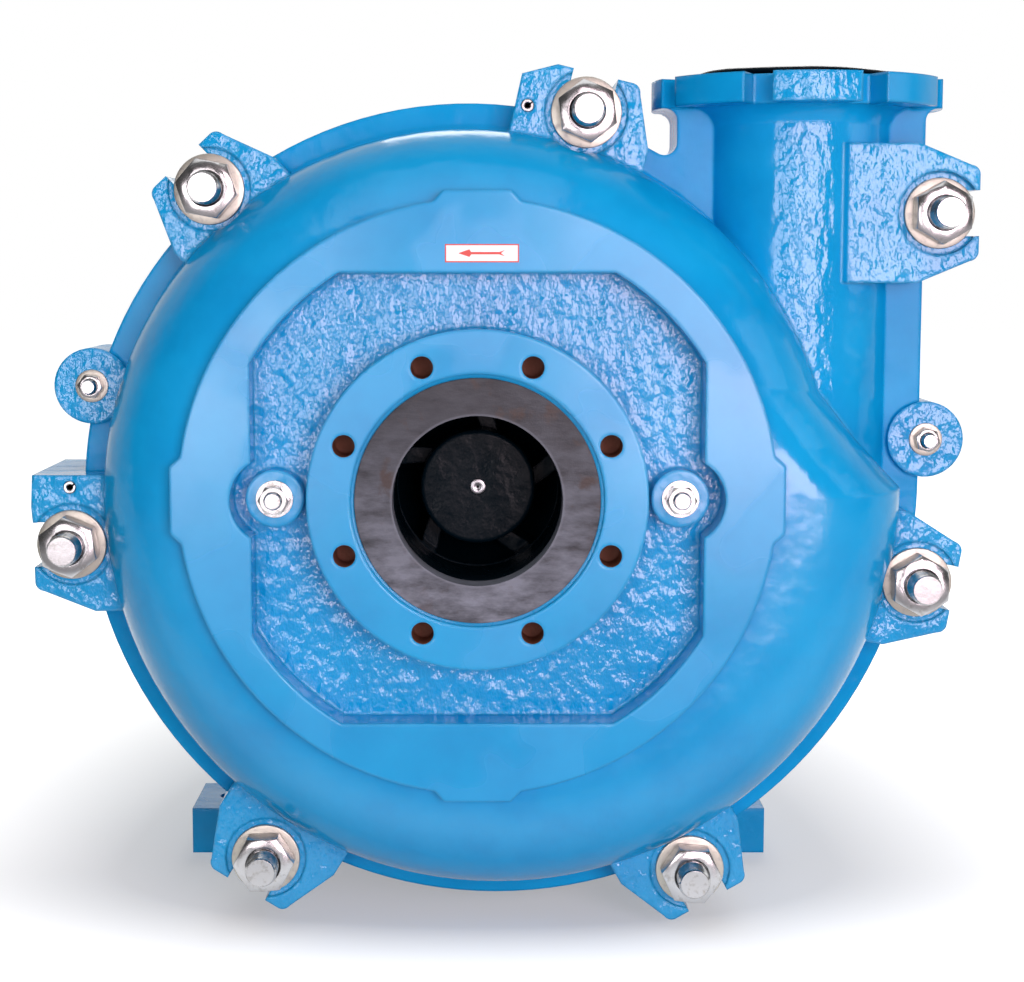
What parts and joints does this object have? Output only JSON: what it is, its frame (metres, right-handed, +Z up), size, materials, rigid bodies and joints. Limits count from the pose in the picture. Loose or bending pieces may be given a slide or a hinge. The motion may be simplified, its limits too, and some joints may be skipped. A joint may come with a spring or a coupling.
{
  "type": "slurry pump",
  "caption": "Horizontal centrifugal slurry pump with a rubber-lined split spiral casing, slotted joint lugs, a top discharge neck and a bearing cartridge on a cast frame.",
  "frame": {"origin": "centre of the suction flange face, on the shaft axis", "axes": "shaft along Y with the suction face looking along -Y and the drive end at +Y; +Z up through the discharge neck; +X to the right seen from the suction side"},
  "size_m": [0.8826, 1.181, 0.8206],
  "materials": {
    "azure_enamel": "glossy",
    "black_rubber": "satin",
    "packing_braid": "matte",
    "bronze": "satin",
    "grey_iron": "matte",
    "ground_steel": "satin",
    "zinc_plated_steel": "satin"
  },
  "bodies": {
    "casing": {"cover_plate": "azure_enamel", "frame_plate": "azure_enamel", "frame_base": "azure_enamel", "stuffing_box": "azure_enamel", "cover_plate_liner": "black_rubber", "frame_plate_liner": "black_rubber", "intake_joint_ring": "black_rubber", "throat_bush": "black_rubber", "frame_plate_liner_insert": "black_rubber", "discharge_joint_ring": "black_rubber", "packing_rings": "packing_braid", "lantern_ring": "bronze", "gland_studs": "zinc_plated_steel", "frame_studs": "zinc_plated_steel", "frame_nuts": "zinc_plated_steel", "clamp_studs": "zinc_plated_steel", "clamp_washers": "zinc_plated_steel", "clamp_nuts": "zinc_plated_steel", "adjusting_nuts": "zinc_plated_steel", "cover_studs": "zinc_plated_steel", "cover_washers_front": "zinc_plated_steel", "cover_nuts_front": "zinc_plated_steel", "cover_washers_back": "zinc_plated_steel", "cover_nuts_back": "zinc_plated_steel", "ear_studs": "zinc_plated_steel", "ear_washers": "zinc_plated_steel", "ear_nuts": "zinc_plated_steel", "roll_pins": "zinc_plated_steel", "liner_studs": "zinc_plated_steel", "liner_stud_nuts": "zinc_plated_steel"},
    "bearing_assembly": {"bearing_housing": "azure_enamel", "end_cover_pump": "azure_enamel", "end_cover_drive": "azure_enamel", "shims_pump": "bronze", "shims_drive": "bronze", "end_cover_screws": "zinc_plated_steel", "grease_nipples": "zinc_plated_steel", "adjusting_screw": "zinc_plated_steel", "outer_race_pump_end": "ground_steel", "outer_race_drive_end": "ground_steel"},
    "rotor": {"impeller": "black_rubber", "impeller_boss": "ground_steel", "shaft": "ground_steel", "shaft_sleeve": "ground_steel", "shaft_spacer": "ground_steel", "labyrinth_pump_end": "grey_iron", "labyrinth_drive_end": "grey_iron", "bearing_locknut": "ground_steel", "inner_race_pump_end": "ground_steel", "inner_race_drive_end": "ground_steel"},
    "roller_sets": {"rollers_pump_end": "ground_steel", "rollers_drive_end": "ground_steel", "cage_pump_end": "bronze", "cage_drive_end": "bronze"},
    "gland": {"gland_follower": "grey_iron", "gland_nuts": "zinc_plated_steel"}
  },
  "joints": [
    {"name": "impeller_adjustment", "type": "slide", "parent": "casing", "child": "bearing_assembly", "axis": [0, 1, 0], "range_m": [-0.0015, 0.002]},
    {"name": "shaft_spin", "type": "hinge", "parent": "bearing_assembly", "child": "rotor", "pos_m": [0, 0.6, 0], "axis": [0, 1, 0], "continuous": true},
    {"name": "roller_orbit", "type": "hinge", "parent": "bearing_assembly", "child": "roller_sets", "pos_m": [0, 0.6, 0], "axis": [0, 1, 0], "continuous": true},
    {"name": "gland_draw", "type": "slide", "parent": "casing", "child": "gland", "axis": [0, 1, 0], "range_m": [0, 0.008]}
  ],
  "couplings": [
    {"joint": "roller_orbit", "follows": "shaft_spin", "ratio": 0.4306}
  ]
}
